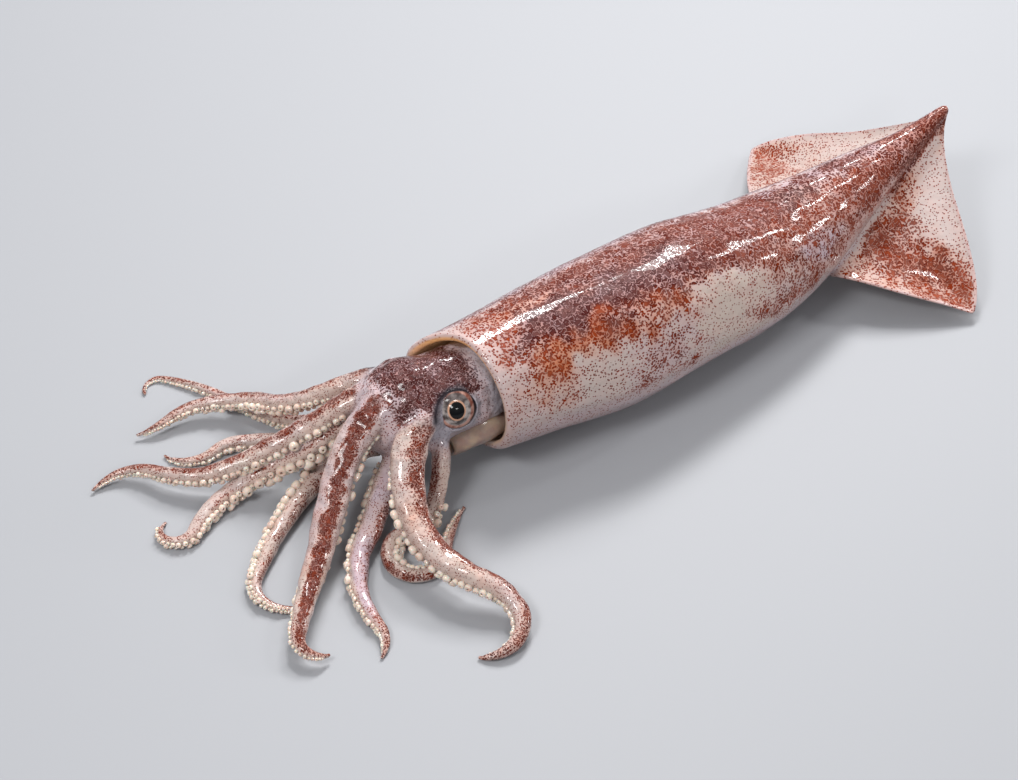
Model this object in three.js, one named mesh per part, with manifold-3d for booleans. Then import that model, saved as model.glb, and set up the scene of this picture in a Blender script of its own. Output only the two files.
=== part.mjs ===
// A whole raw squid lying belly down, in millimetres, +Z up, with the tail towards +X, the arms towards -X
// and the squid's left side towards -Y. Everything is laid out from the middle of the mantle's mouth at
// X = 0, and the group is moved at the end so that its origin is the bottom centre of its box.
import * as THREE from 'three';
import { mergeVertices } from 'three/addons/utils/BufferGeometryUtils.js';
import Module from 'manifold-3d';

// Driving sizes of the mantle, the muscular tube that ends in the tail.
const MANTLE_LENGTH = 220;
const MANTLE_WALL = 3;
const MOUTH_DEPTH = 25;
const RIM_SETBACK = 3.2;
const RIM_LOBE = 10.4;
const RIM_LOBE_TURN = 72;
const RIM_LOBE_SHARPNESS = 7;
const RIM_BLEND = 45;
const MANTLE_SIDES = 32;
const MANTLE_RINGS = 22;
// Where the rim's inner, foremost and outer edges lie behind the mouth, and how the tail's tip is rounded.
const RIM_EDGES = { inner: 1, front: -0.4, outer: 0.6 };
const TAIL_ROUNDING = { length: 1, inset: 0.3 };
// Stations along the mantle as shares of its length: how high the belly is above the ground, the radius,
// and how far the tube bows sideways.
const MANTLE_STATIONS = [
  { along: 0, belly: 5.8, radius: 21.8, bow: 0 },
  { along: 0.12, belly: 2.6, radius: 23.8, bow: -1.9 },
  { along: 0.25, belly: -0.4, radius: 26.3, bow: -4.2 },
  { along: 0.4, belly: -0.4, radius: 25.3, bow: -4.2 },
  { along: 0.55, belly: -0.2, radius: 22.5, bow: -4.3 },
  { along: 0.68, belly: 5.1, radius: 18, bow: -2.7 },
  { along: 0.8, belly: 16.3, radius: 11.6, bow: -0.7 },
  { along: 0.9, belly: 27.9, radius: 5.9, bow: -0.2 },
  { along: 1, belly: 40.3, radius: 1.5, bow: 0 },
];

// Driving sizes of the two fins, which spring from the back third of the mantle and droop to the ground.
// The outline is that of the left fin and its mirror image: the front edge runs from the mantle out to the
// corner, and the back edge from the corner to the tail's tip.
const FIN_ROOT_THICKNESS = 3.2;
const FIN_EDGE_THICKNESS = 1.2;
const FIN_SAG = 5;
const FIN_FRONT_ROOT = [149, 17, 11];
const FIN_FRONT_BOW = [146, 28, 20];
const FIN_CORNER = [181, 57.5, 2];
const FIN_BACK_BOW = [196, 50, 16];
const FIN_BACK_HOLLOW = [203, 6, 25];
const RIGHT_FIN_REACH = 1.045;
const FIN_ROOT_END = MANTLE_LENGTH - 2;
const FIN_FIRST_ROW = 0.02;
const FIN_LAST_ROW = 0.99;
const FIN_EDGE_ROUNDING = 0.35;
const FIN_CLEARANCE = 0.1;
const FIN_ROWS = 18;
const FIN_COLUMNS = 6;

// Driving sizes of the head: a neck that sits in the mantle's mouth, a bulge at the eyes, and the crown
// that the arms spring from. Stations run from inside the mouth forwards.
const HEAD_SIDES = 24;
const HEAD_STATIONS = [
  { x: 20, y: 0.5, z: 27.4, radius: 12 },
  { x: 12, y: 1.4, z: 27.6, radius: 13.2 },
  { x: 2, y: 2.4, z: 27.8, radius: 14.2 },
  { x: -7, y: 4.2, z: 27.4, radius: 14.7 },
  { x: -16, y: 6.8, z: 26.4, radius: 16.2 },
  { x: -23, y: 7.2, z: 25.8, radius: 15.6 },
  { x: -30, y: 7.4, z: 25.4, radius: 11.5 },
  { x: -34, y: 7.5, z: 25.2, radius: 6 },
];

// Driving sizes of the eyes. Each is sunk in the head at a station along it, and looks out at `course`
// degrees in plan and `rise` degrees above level: the head is rolled, so the left eye is the higher one.
const EYE_RADIUS = 8;
const EYE_DEPTH = 5;
const EYE_GAP = 0.3;
const EYE_SIDES = 16;
const EYE_RINGS = 10;
const LEFT_EYE = { station: -4, course: 250, rise: 16 };
const RIGHT_EYE = { station: -12, course: 100, rise: -10 };

// Driving sizes of the arms. Each springs from a ring round the crown at `turn` degrees from the top, with
// plus towards the squid's right, and runs over the ground in arcs of [length, turn]. It comes down from
// the crown over `drop`, and `hump` lifts it where it passes over a neighbour.
const CROWN = [-13, 6.5, 26];
const CROWN_RING = 11;
const ARM_SIDES = 9;
const ARM_STEPS = 22;
const ARM_TIP_RADIUS = 0.6;
const ARM_TAPER = 0.5;
const STEP_CROWDING = 1.5;
const SUCKER_FACE_FLATTENING = 0.22;
const ARMS = [
  {
    turn: 110, radius: 3, drop: 45, course: 163, suckers: 100,
    arcs: [[22, -39], [45, -16], [23, 20], [12, 141]],
  },
  {
    turn: 80, radius: 4.6, drop: 68, course: 130, suckers: 110, hump: { at: 70, height: 3, spread: 25 },
    arcs: [[20, 18], [26, -40], [36, 75], [12, -25]],
  },
  {
    turn: 140, radius: 4.2, drop: 40, course: 143, suckers: 100,
    arcs: [[55, 0], [10, 48], [19, -94]],
  },
  {
    turn: 38, radius: 4.8, drop: 75, course: 181, suckers: 120, hump: { at: 70, height: 4, spread: 30 },
    arcs: [[20, -23], [42, -2], [25, -42], [23, 87]],
  },
  {
    turn: 5, ring: 2, radius: 5.2, drop: 70, course: 150, suckers: 110,
    arcs: [[31, 16], [14, -17], [39, 67], [21, -206]],
  },
  {
    turn: 178, radius: 4.8, drop: 40, course: 165, suckers: -100,
    arcs: [[25, -18], [8, 52], [50, 21], [25, 142]],
  },
  {
    turn: -12, radius: 6.8, drop: 75, course: 171, suckers: 150, hump: { at: 88, height: 3, spread: 28 },
    arcs: [[12, 4], [27, 41], [54, 10], [15, 139]],
  },
  {
    turn: -150, radius: 5.4, drop: 45, course: 170, suckers: -110,
    arcs: [[22, 46], [20, -3], [37, 57], [13, -65]],
  },
  {
    turn: -62, radius: 6.6, drop: 60, course: 182, suckers: -120, hump: { at: 60, height: 6, spread: 22 },
    arcs: [[18, 42], [53, 82], [9, -32], [28, -145]],
  },
  {
    turn: -110, radius: 3.8, drop: 25, course: 254, suckers: 110,
    arcs: [[34, -82], [15, 96], [22, 140], [24, -19]],
  },
];

// Driving sizes of the funnel, the short soft nozzle under the neck.
const FUNNEL_GAP = 0.4;
const FUNNEL_SIDES = 16;
const FUNNEL_BORE = 0.55;
const FUNNEL_BORE_DEPTH = 6;
const FUNNEL_STATIONS = [
  { x: 20, y: -4, z: 16, radius: 5 },
  { x: 11, y: -7.5, z: 17, radius: 5.4 },
  { x: 3, y: -8.4, z: 17.6, radius: 5.2 },
  { x: -5, y: -7, z: 15.4, radius: 4.8 },
  { x: -10, y: -5, z: 13.4, radius: 3.8 },
];

// The block of space above the ground, which trims the belly, and the smallest lengths that count.
const SPACE_ABOVE_GROUND = [600, 400, 200];
const WELD = 1e-4;
const LEAST_LENGTH = 1e-9;

const wasm = await Module();
wasm.setup();

// A smooth value between stations, with the slope at each station taken from its two neighbours.
function between(stations, key, field, at) {
  const last = stations.length - 1;
  const rising = stations[last][key] > stations[0][key];
  let i = 0;
  while (i < last - 1 && (rising ? at > stations[i + 1][key] : at < stations[i + 1][key])) i += 1;
  const slope = (n) => {
    const a = stations[Math.max(n - 1, 0)];
    const b = stations[Math.min(n + 1, last)];
    return (b[field] - a[field]) / (b[key] - a[key]);
  };
  const span = stations[i + 1][key] - stations[i][key];
  const t = (at - stations[i][key]) / span;
  const start = (1 + 2 * t) * (1 - t) ** 2 * stations[i][field];
  const end = t * t * (3 - 2 * t) * stations[i + 1][field];
  const slopes = t * (1 - t) ** 2 * slope(i) - t * t * (1 - t) * slope(i + 1);
  return start + end + span * slopes;
}

// A closed body through rings of points, with a single point wherever it closes to an apex.
function loft(rings) {
  const positions = [];
  const starts = [];
  rings.forEach((ring) => {
    starts.push(positions.length / 3);
    ring.forEach((p) => positions.push(p.x, p.y, p.z));
  });
  const index = [];
  for (let r = 0; r < rings.length - 1; r += 1) {
    const a = rings[r].length;
    const b = rings[r + 1].length;
    const sides = Math.max(a, b);
    for (let k = 0; k < sides; k += 1) {
      const next = (k + 1) % sides;
      if (a > 1) index.push(starts[r] + k, starts[r] + next, starts[r + 1] + (b > 1 ? k : 0));
      if (b > 1) index.push(starts[r] + (a > 1 ? next : 0), starts[r + 1] + next, starts[r + 1] + k);
    }
  }
  const geometry = new THREE.BufferGeometry();
  geometry.setAttribute('position', new THREE.Float32BufferAttribute(positions, 3));
  geometry.setIndex(index);
  return geometry;
}

// The middle of a ring of points, to close a loft with.
function middle(ring) {
  const sum = ring.reduce((total, p) => total.add(p), new THREE.Vector3());
  return [sum.multiplyScalar(1 / ring.length)];
}

// A closed geometry as a solid for joining and cutting, turned right side out if it needs it.
function solid(geometry) {
  geometry.deleteAttribute('normal');
  geometry.deleteAttribute('uv');
  const merged = mergeVertices(geometry, WELD);
  const make = (triVerts) => new wasm.Manifold(
    new wasm.Mesh({ numProp: 3, vertProperties: merged.attributes.position.array, triVerts }),
  );
  const triVerts = new Uint32Array(merged.index.array);
  const body = make(triVerts);
  return body.volume() > 0 ? body : make(triVerts.reverse());
}

// A solid turned back into a geometry.
function geometryOf(body) {
  const mesh = body.getMesh();
  const geometry = new THREE.BufferGeometry();
  geometry.setAttribute('position', new THREE.BufferAttribute(mesh.vertProperties, 3));
  geometry.setIndex(new THREE.BufferAttribute(mesh.triVerts, 1));
  return geometry;
}

// A ring of points round a place, in the plane of two unit vectors.
function ringOf(place, up, side, sides, radiusAt) {
  const points = [];
  for (let k = 0; k < sides; k += 1) {
    const a = (2 * Math.PI * k) / sides;
    const reach = radiusAt(a);
    points.push(place.clone().addScaledVector(up, reach * Math.cos(a)).addScaledVector(side, reach * Math.sin(a)));
  }
  return points;
}

const UP = new THREE.Vector3(0, 0, 1);
const RIGHT = new THREE.Vector3(0, 1, 0);
const degrees = THREE.MathUtils.degToRad;

// The mantle's middle line and radius at a distance behind the rim.
function mantleAt(x) {
  const along = THREE.MathUtils.clamp(x / MANTLE_LENGTH, 0, 1);
  const radius = between(MANTLE_STATIONS, 'along', 'radius', along);
  const belly = between(MANTLE_STATIONS, 'along', 'belly', along);
  const bow = between(MANTLE_STATIONS, 'along', 'bow', along);
  return { place: new THREE.Vector3(x, bow, belly + radius), radius };
}

// How far the rim reaches forwards at an angle from the top: most at the lobe on its right.
function rimReach(angle) {
  const nearness = (1 + Math.cos(angle - degrees(RIM_LOBE_TURN))) / 2;
  return RIM_LOBE * nearness ** RIM_LOBE_SHARPNESS - RIM_SETBACK;
}

// A ring of the mantle's skin or, with an inset, of its inner wall, which follows the rim near the mouth.
function mantleRing(x, inset) {
  const { place, radius } = mantleAt(x);
  const share = THREE.MathUtils.clamp(1 - x / RIM_BLEND, 0, 1);
  const ring = ringOf(place, UP, RIGHT, MANTLE_SIDES, () => radius - inset);
  ring.forEach((p, k) => {
    p.x -= share * rimReach((2 * Math.PI * k) / MANTLE_SIDES);
  });
  return ring;
}

// The mantle: from the floor of the mouth out along the inner wall, round the rim and back to the tail.
function mantle() {
  const floor = mantleRing(MOUTH_DEPTH, MANTLE_WALL);
  const rings = [middle(floor), floor, mantleRing(MOUTH_DEPTH / 2, MANTLE_WALL)];
  rings.push(mantleRing(RIM_EDGES.inner, MANTLE_WALL), mantleRing(RIM_EDGES.front, MANTLE_WALL / 2));
  rings.push(mantleRing(RIM_EDGES.outer, 0));
  for (let i = 1; i < MANTLE_RINGS; i += 1) rings.push(mantleRing((MANTLE_LENGTH * i) / MANTLE_RINGS, 0));
  rings.push(mantleRing(MANTLE_LENGTH - TAIL_ROUNDING.length, TAIL_ROUNDING.inset));
  rings.push([mantleAt(MANTLE_LENGTH).place]);
  return solid(loft(rings));
}

// A point on a Bezier curve of any number of points.
function bezier(points, t) {
  let row = points;
  while (row.length > 1) row = row.slice(1).map((p, i) => row[i].clone().lerp(p, t));
  return row[0];
}

// One fin: a thin sheet from a root line inside the mantle to the outline, thick at the root.
function fin(side) {
  const reach = side > 0 ? RIGHT_FIN_REACH : 1;
  const point = ([x, y, z]) => new THREE.Vector3(x, side * reach * y, z);
  const tip = mantleAt(MANTLE_LENGTH).place;
  const front = [FIN_FRONT_ROOT, FIN_FRONT_BOW, FIN_CORNER].map(point);
  const back = [...[FIN_CORNER, FIN_BACK_BOW, FIN_BACK_HOLLOW].map(point), tip];
  const edgeAt = (v) => (v < 0.5 ? bezier(front, 2 * v) : bezier(back, 2 * v - 1));
  const rootAt = (v) => mantleAt(THREE.MathUtils.lerp(FIN_FRONT_ROOT[0], FIN_ROOT_END, v)).place;
  const sheetAt = (u, v) => {
    const root = rootAt(v);
    const p = root.clone().lerp(edgeAt(v), u);
    p.z -= FIN_SAG * 4 * u * (1 - u) * Math.sin(Math.PI * v);
    const thickness = THREE.MathUtils.lerp(FIN_ROOT_THICKNESS, FIN_EDGE_THICKNESS, u);
    p.z = Math.max(p.z, thickness / 2 + FIN_CLEARANCE);
    return { p, thickness };
  };
  const rings = [];
  for (let j = 0; j <= FIN_ROWS; j += 1) {
    const v = THREE.MathUtils.lerp(FIN_FIRST_ROW, FIN_LAST_ROW, j / FIN_ROWS);
    const above = [];
    const below = [];
    for (let i = 0; i <= FIN_COLUMNS; i += 1) {
      const u = i / FIN_COLUMNS;
      const { p, thickness } = sheetAt(u, v);
      const share = i === FIN_COLUMNS ? FIN_EDGE_ROUNDING : 1;
      above.push(p.clone().setZ(p.z + (share * thickness) / 2));
      below.unshift(p.clone().setZ(p.z - (share * thickness) / 2));
    }
    rings.push([...above, ...below]);
  }
  return solid(loft([middle(rings[0]), ...rings, middle(rings[FIN_ROWS])]));
}

// Everything above the ground, to trim the belly to the small flat that the squid rests on.
function aboveGround() {
  const block = new THREE.BoxGeometry(...SPACE_ABOVE_GROUND);
  block.translate(0, 0, SPACE_ABOVE_GROUND[2] / 2);
  return solid(block);
}

// The middle and radius of a round body at a distance along its stations.
function bodyAt(stations, x) {
  const place = new THREE.Vector3(x, between(stations, 'x', 'y', x), between(stations, 'x', 'z', x));
  return { place, radius: between(stations, 'x', 'radius', x) };
}

// A round body through stations, each with a place and a radius, that grows by `grow` all over.
function roundBody(stations, sides, grow) {
  const rings = [];
  const steps = 2 * (stations.length - 1);
  for (let i = 0; i <= steps; i += 1) {
    const x = THREE.MathUtils.lerp(stations[0].x, stations[stations.length - 1].x, i / steps);
    const { place, radius } = bodyAt(stations, x);
    rings.push(ringOf(place, UP, RIGHT, sides, () => radius + grow));
  }
  return solid(loft([middle(rings[0]), ...rings, middle(rings[steps])]));
}

// One arm: a tapered tube with a flattened sucker face, from inside the crown to a fine tip.
function arm({ turn, ring = CROWN_RING, radius, drop, course, suckers, hump, arcs }) {
  const [crownX, crownY, crownZ] = CROWN;
  const rootY = crownY + ring * Math.sin(degrees(turn));
  const rootZ = crownZ + ring * Math.cos(degrees(turn));
  const total = arcs.reduce((sum, [length]) => sum + length, 0);
  const place = new THREE.Vector2(crownX, rootY);
  let heading = degrees(course);
  let arcIndex = 0;
  let arcLeft = arcs[0][0];
  const lengthAt = (i) => total * (1 - (1 - i / ARM_STEPS) ** STEP_CROWDING);
  const rings = [];
  for (let i = 0; i <= ARM_STEPS; i += 1) {
    const s = lengthAt(i);
    const here = Math.max(radius * (1 - s / total) ** ARM_TAPER, ARM_TIP_RADIUS);
    const lift = (rootZ - radius) * (1 - THREE.MathUtils.smoothstep(s, 0, drop));
    const rise = hump ? hump.height * Math.exp(-(((s - hump.at) / hump.spread) ** 2)) : 0;
    const centre = new THREE.Vector3(place.x, place.y, here + lift + rise);
    const sideways = new THREE.Vector3(-Math.sin(heading), Math.cos(heading), 0);
    rings.push(ringOf(centre, UP, sideways, ARM_SIDES, (a) => {
      const facing = Math.max(0, Math.cos(a - degrees(suckers)));
      return here * (1 - SUCKER_FACE_FLATTENING * facing ** 2);
    }));
    let left = i < ARM_STEPS ? lengthAt(i + 1) - s : 0;
    while (left > LEAST_LENGTH && arcIndex < arcs.length) {
      const part = Math.min(left, arcLeft);
      const bend = (degrees(arcs[arcIndex][1]) * part) / arcs[arcIndex][0];
      place.x += part * Math.cos(heading + bend / 2);
      place.y += part * Math.sin(heading + bend / 2);
      heading += bend;
      left -= part;
      arcLeft -= part;
      if (arcLeft < LEAST_LENGTH) {
        arcIndex += 1;
        arcLeft = arcIndex < arcs.length ? arcs[arcIndex][0] : 0;
      }
    }
  }
  return solid(loft([middle(rings[0]), ...rings, middle(rings[ARM_STEPS])]));
}

// An eyeball sunk in the side of the head.
function eyeball({ station, course, rise }, grow) {
  const outward = new THREE.Vector3(
    Math.cos(degrees(course)) * Math.cos(degrees(rise)),
    Math.sin(degrees(course)) * Math.cos(degrees(rise)),
    Math.sin(degrees(rise)),
  );
  const { place, radius } = bodyAt(HEAD_STATIONS, station);
  const centre = place.addScaledVector(outward, radius - EYE_DEPTH);
  const ball = new THREE.SphereGeometry(EYE_RADIUS + grow, EYE_SIDES, EYE_RINGS);
  ball.translate(centre.x, centre.y, centre.z);
  return solid(ball);
}

// The head with its ten arms, and a socket for each eye.
function head() {
  let body = roundBody(HEAD_STATIONS, HEAD_SIDES, 0);
  ARMS.forEach((one) => {
    body = body.add(arm(one));
  });
  return body.subtract(eyeball(LEFT_EYE, EYE_GAP)).subtract(eyeball(RIGHT_EYE, EYE_GAP));
}

// The funnel, bored from its mouth and kept clear of the neck.
function funnel() {
  const outside = roundBody(FUNNEL_STATIONS, FUNNEL_SIDES, 0);
  const mouth = FUNNEL_STATIONS[FUNNEL_STATIONS.length - 1];
  const bore = new THREE.CylinderGeometry(
    mouth.radius * FUNNEL_BORE, mouth.radius * FUNNEL_BORE, 2 * FUNNEL_BORE_DEPTH, FUNNEL_SIDES,
  );
  bore.rotateZ(Math.PI / 2);
  bore.translate(mouth.x, mouth.y, mouth.z);
  return outside.subtract(solid(bore)).subtract(roundBody(HEAD_STATIONS, HEAD_SIDES, FUNNEL_GAP));
}

function skin(colour, roughness) {
  return new THREE.MeshStandardMaterial({ color: colour, roughness, metalness: 0 });
}

const group = new THREE.Group();

function addMesh(name, body, material) {
  const mesh = new THREE.Mesh(geometryOf(body), material);
  mesh.name = name;
  group.add(mesh);
}

addMesh('mantle_and_fins', mantle().add(fin(-1)).add(fin(1)).intersect(aboveGround()), skin('#c48f82', 0.25));
addMesh('head_and_arms', head(), skin('#c9a394', 0.25));
addMesh('left_eye', eyeball(LEFT_EYE, 0), skin('#2b2628', 0.08));
addMesh('right_eye', eyeball(RIGHT_EYE, 0), skin('#2b2628', 0.08));
addMesh('funnel', funnel(), skin('#d9cdc4', 0.3));

// The origin moves to the bottom centre of the whole.
const box = new THREE.Box3().setFromObject(group);
const centre = box.getCenter(new THREE.Vector3());
group.children.forEach((mesh) => {
  mesh.position.set(-centre.x, -centre.y, -box.min.z);
});

export default group;
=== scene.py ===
"""A whole raw squid lying belly down: the looks of its skin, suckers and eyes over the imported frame."""

import math

import bpy
import numpy as np
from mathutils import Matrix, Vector
from mathutils.kdtree import KDTree


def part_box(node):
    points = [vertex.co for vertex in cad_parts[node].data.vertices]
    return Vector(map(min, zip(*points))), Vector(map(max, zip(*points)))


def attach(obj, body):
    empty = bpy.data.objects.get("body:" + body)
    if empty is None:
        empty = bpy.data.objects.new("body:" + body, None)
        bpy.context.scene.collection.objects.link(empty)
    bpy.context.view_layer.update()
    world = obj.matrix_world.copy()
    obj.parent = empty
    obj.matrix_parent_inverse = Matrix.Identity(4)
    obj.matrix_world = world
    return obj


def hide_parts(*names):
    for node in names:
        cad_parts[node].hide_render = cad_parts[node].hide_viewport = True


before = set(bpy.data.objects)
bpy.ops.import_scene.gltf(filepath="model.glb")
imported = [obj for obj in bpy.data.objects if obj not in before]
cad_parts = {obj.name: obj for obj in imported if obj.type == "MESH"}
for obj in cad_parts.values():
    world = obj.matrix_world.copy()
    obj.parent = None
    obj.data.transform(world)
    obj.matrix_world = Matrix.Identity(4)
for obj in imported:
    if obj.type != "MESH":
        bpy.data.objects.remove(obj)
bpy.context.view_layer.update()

# MANTLE AND FINS: one muscular tube, open at the mouth and pointed at the tail, with two thin fins grown on
# to its back third. It is all one flesh, so the tube and fins are joined and the seams are smoothed over.
# It is laid out in millimetres from the middle of the mouth, and set on the frame's tail tip.
MM = 0.001
MANTLE_LENGTH = 220.0
tube_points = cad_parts["mantle_and_fins"].data.vertices
tail_tip = max((v.co for v in tube_points), key=lambda p: p.x)
MOUTH_MIDDLE = np.array([tail_tip.x - MANTLE_LENGTH * MM, tail_tip.y, 0.0])
MANTLE_WALL = 3.0
MOUTH_DEPTH = 25.0
RIM_SETBACK = 3.2
RIM_LOBE = 10.4
RIM_LOBE_TURN = math.radians(72)
RIM_LOBE_SHARPNESS = 7
RIM_BLEND = 45.0
MANTLE_SIDES = 176
MANTLE_STEP = 0.85
# Share of the length, height of the belly over the ground, radius, and how far the tube bows sideways.
MANTLE_STATIONS = np.array([
    (0.00, 5.8, 21.8, 0.0),
    (0.12, 2.6, 23.8, -1.9),
    (0.25, -0.4, 26.3, -4.2),
    (0.40, -0.4, 25.3, -4.2),
    (0.55, -0.2, 22.5, -4.3),
    (0.68, 5.1, 18.0, -2.7),
    (0.80, 16.3, 11.6, -0.7),
    (0.90, 27.9, 5.9, -0.2),
    (1.00, 40.3, 1.5, 0.0),
])


def smooth_between(stations, at):
    """The stations' columns at each place in `at`, on a smooth curve with each slope from the neighbours."""
    keys, values = stations[:, 0], stations[:, 1:]
    order = np.arange(len(keys))
    before = np.maximum(order - 1, 0)
    after = np.minimum(order + 1, len(keys) - 1)
    slopes = (values[after] - values[before]) / (keys[after] - keys[before])[:, None]
    at = np.clip(at, keys[0], keys[-1])
    i = np.clip(np.searchsorted(keys, at) - 1, 0, len(keys) - 2)
    span = (keys[i + 1] - keys[i])[:, None]
    t = (at - keys[i])[:, None] / span
    start = (1 + 2 * t) * (1 - t) ** 2 * values[i] + t * (1 - t) ** 2 * span * slopes[i]
    end = t * t * (3 - 2 * t) * values[i + 1] - t * t * (1 - t) * span * slopes[i + 1]
    return start + end


def step(value, low, high):
    """0 below `low`, 1 above `high`, and smooth between them."""
    t = np.clip((value - low) / (high - low), 0, 1)
    return t * t * (3 - 2 * t)


def waves(points, size, seed):
    """Smooth random relief from about -1 to 1, with humps of that size, the same each run."""
    random = np.random.default_rng(seed)
    directions = random.normal(size=(18, 3))
    directions *= math.pi / size / np.linalg.norm(directions, axis=1)[:, None]
    offsets = random.uniform(0, 2 * math.pi, 18)
    return np.sin(points @ directions.T + offsets).sum(axis=1) / 4.5


def mantle_at(x):
    """Belly height, radius and sideways bow at distances behind the mouth."""
    return smooth_between(MANTLE_STATIONS, np.ravel(x) / MANTLE_LENGTH).T


def rim_reach(angle):
    """How far the rim reaches forwards at an angle from the top: most at the lobe on its right."""
    nearness = (1 + np.cos(angle - RIM_LOBE_TURN)) / 2
    return RIM_LOBE * nearness**RIM_LOBE_SHARPNESS - RIM_SETBACK


def put_object(name, data):
    """An object in the scene that shows the data."""
    made = bpy.data.objects.new(name, data)
    bpy.context.scene.collection.objects.link(made)
    return made


def place_mesh(name, points, faces):
    """An object made from points in metres and faces."""
    mesh = bpy.data.meshes.new(name)
    mesh.from_pydata(points, [], faces)
    return put_object(name, mesh)


def in_frame(points):
    """Points in metres in the frame, from millimetres from the middle of the mouth."""
    return (points * MM + MOUTH_MIDDLE).tolist()


def tube_faces(count, sides):
    """The faces of a tube through that many rings, closed by fans to two last points at its start and end."""
    k = np.arange(sides)
    turn = (k + 1) % sides
    rows = np.arange(count - 1)[:, None] * sides
    walls = np.stack([rows + k, rows + turn, rows + sides + turn, rows + sides + k], axis=-1)
    last, middle = (count - 1) * sides, count * sides
    fans = [(middle, b, a) for a, b in zip(k.tolist(), turn.tolist())]
    fans += [(middle + 1, last + a, last + b) for a, b in zip(k.tolist(), turn.tolist())]
    return walls.reshape(-1, 4).tolist() + fans


def loft(name, rings):
    """A closed mesh through rings of points, with its two ends closed to their middles."""
    count, sides, _ = rings.shape
    points = np.concatenate([rings.reshape(-1, 3), rings[[0, -1]].mean(axis=1)])
    made = place_mesh(name, in_frame(points), tube_faces(count, sides))
    made.data.validate()
    return made


def fetched(items, name, width, kind=np.float32):
    """One value of all the mesh's items, with a row for each."""
    flat = np.empty(len(items) * width, kind)
    items.foreach_get(name, flat)
    return flat.reshape(-1, width)


def points_of(piece):
    """The mesh's points in millimetres from the middle of the mantle's mouth."""
    return (fetched(piece.data.vertices, "co", 3).astype(float) - MOUTH_MIDDLE) / MM


def face_outwards(piece):
    """Turns a closed mesh's faces outwards if its signed volume says that they look in."""
    mesh = piece.data
    mesh.calc_loop_triangles()
    corners = fetched(mesh.loop_triangles, "vertices", 3, np.int32)
    a, b, c = points_of(piece)[corners].transpose(1, 0, 2)
    if np.einsum("ij,ij->i", a, np.cross(b, c)).sum() < 0:
        mesh.flip_normals()


def move_points(piece, points):
    """Puts the mesh's points at new places, in millimetres like points_of."""
    piece.data.vertices.foreach_set("co", (points * MM + MOUTH_MIDDLE).astype(np.float32).ravel())
    piece.data.update()


def apply_modifiers(piece):
    """Makes the mesh what its modifiers turn it into."""
    graph = bpy.context.evaluated_depsgraph_get()
    made = bpy.data.meshes.new_from_object(piece.evaluated_get(graph))
    piece.modifiers.clear()
    piece.data = made


def smooth_where(piece, weights, rounds):
    """Evens the surface out where the weights say so."""
    a, b = fetched(piece.data.edges, "vertices", 2, np.int32).T
    points = points_of(piece)
    links = np.bincount(a, minlength=len(points)) + np.bincount(b, minlength=len(points))
    for _ in range(rounds):
        middle = np.empty_like(points)
        for axis in range(3):
            middle[:, axis] = np.bincount(a, points[b, axis], len(points)) + np.bincount(
                b, points[a, axis], len(points)
            )
        middle /= np.maximum(links, 1)[:, None]
        points += (middle - points) * (0.5 * weights)[:, None]
    move_points(piece, points)


def store(piece, **values):
    """Keeps a value at each point of the mesh under a name, for its material to read."""
    for name, value in values.items():
        kept = piece.data.attributes.new(name, "FLOAT", "POINT")
        kept.data.foreach_set("value", np.asarray(value, np.float32))


def ring_turns(count):
    """That many angles evenly round a ring."""
    return np.linspace(0, 2 * math.pi, count, endpoint=False)


def circle(angles, first, second):
    """Directions at the angles from the first of two square directions towards the second."""
    return np.outer(np.cos(angles), first) + np.outer(np.sin(angles), second)


# The tube runs from the floor of its mouth out along the inner wall, round the rim and back to the tail.
RIM_RINGS = 11
RIM_X = 1.1
INNER_STEP = 1.2
INNER_END = 1.5
TAIL_ROUNDING = 0.5
SWELL_HEIGHT, SWELL_SIZE = 0.45, 16
GRAIN_HEIGHT, GRAIN_SIZE = 0.10, 3.2
INNER_RELIEF = 0.4
SMOOTH_TAIL = 40
rim_turn = np.linspace(0, math.pi, RIM_RINGS)
inner_x = np.arange(MOUTH_DEPTH, INNER_END, -INNER_STEP)
outer_x = np.arange(RIM_X + MANTLE_STEP, MANTLE_LENGTH - TAIL_ROUNDING, MANTLE_STEP)
ring_x = np.concatenate([inner_x, RIM_X - MANTLE_WALL / 2 * np.sin(rim_turn), outer_x])
ring_inset = np.concatenate([
    np.full(len(inner_x), MANTLE_WALL),
    MANTLE_WALL / 2 * (1 + np.cos(rim_turn)),
    np.zeros(len(outer_x)),
])
belly, radius, bow = mantle_at(ring_x)
angles = ring_turns(MANTLE_SIDES)
ring_grid, angle_grid = np.meshgrid(np.arange(len(ring_x)), angles, indexing="ij")
skin_round = radius[ring_grid] * np.stack([np.sin(angle_grid), np.cos(angle_grid), 0 * angle_grid])
skin_place = np.moveaxis(skin_round, 0, -1) + ring_x[ring_grid][..., None] * np.array([0, 0, 1.0])
relief = SWELL_HEIGHT * waves(skin_place.reshape(-1, 3) * (1, 1, 0.6), SWELL_SIZE, 3)
relief += GRAIN_HEIGHT * waves(skin_place.reshape(-1, 3) * (1, 1, 0.35), GRAIN_SIZE, 4)
relief = relief.reshape(ring_grid.shape) * np.where(ring_inset > 0, INNER_RELIEF, 1)[:, None]
relief *= step(MANTLE_LENGTH - ring_x, 0, SMOOTH_TAIL)[:, None]
reach = (radius - ring_inset)[:, None] + relief
mantle_rings = np.stack([
    ring_x[:, None] - np.clip(1 - ring_x / RIM_BLEND, 0, 1)[:, None] * rim_reach(angle_grid),
    bow[:, None] + reach * np.sin(angle_grid),
    np.maximum((belly + radius)[:, None] + reach * np.cos(angle_grid), 0),
], axis=-1)
mantle = loft("mantle", mantle_rings)
face_outwards(mantle)

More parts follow.
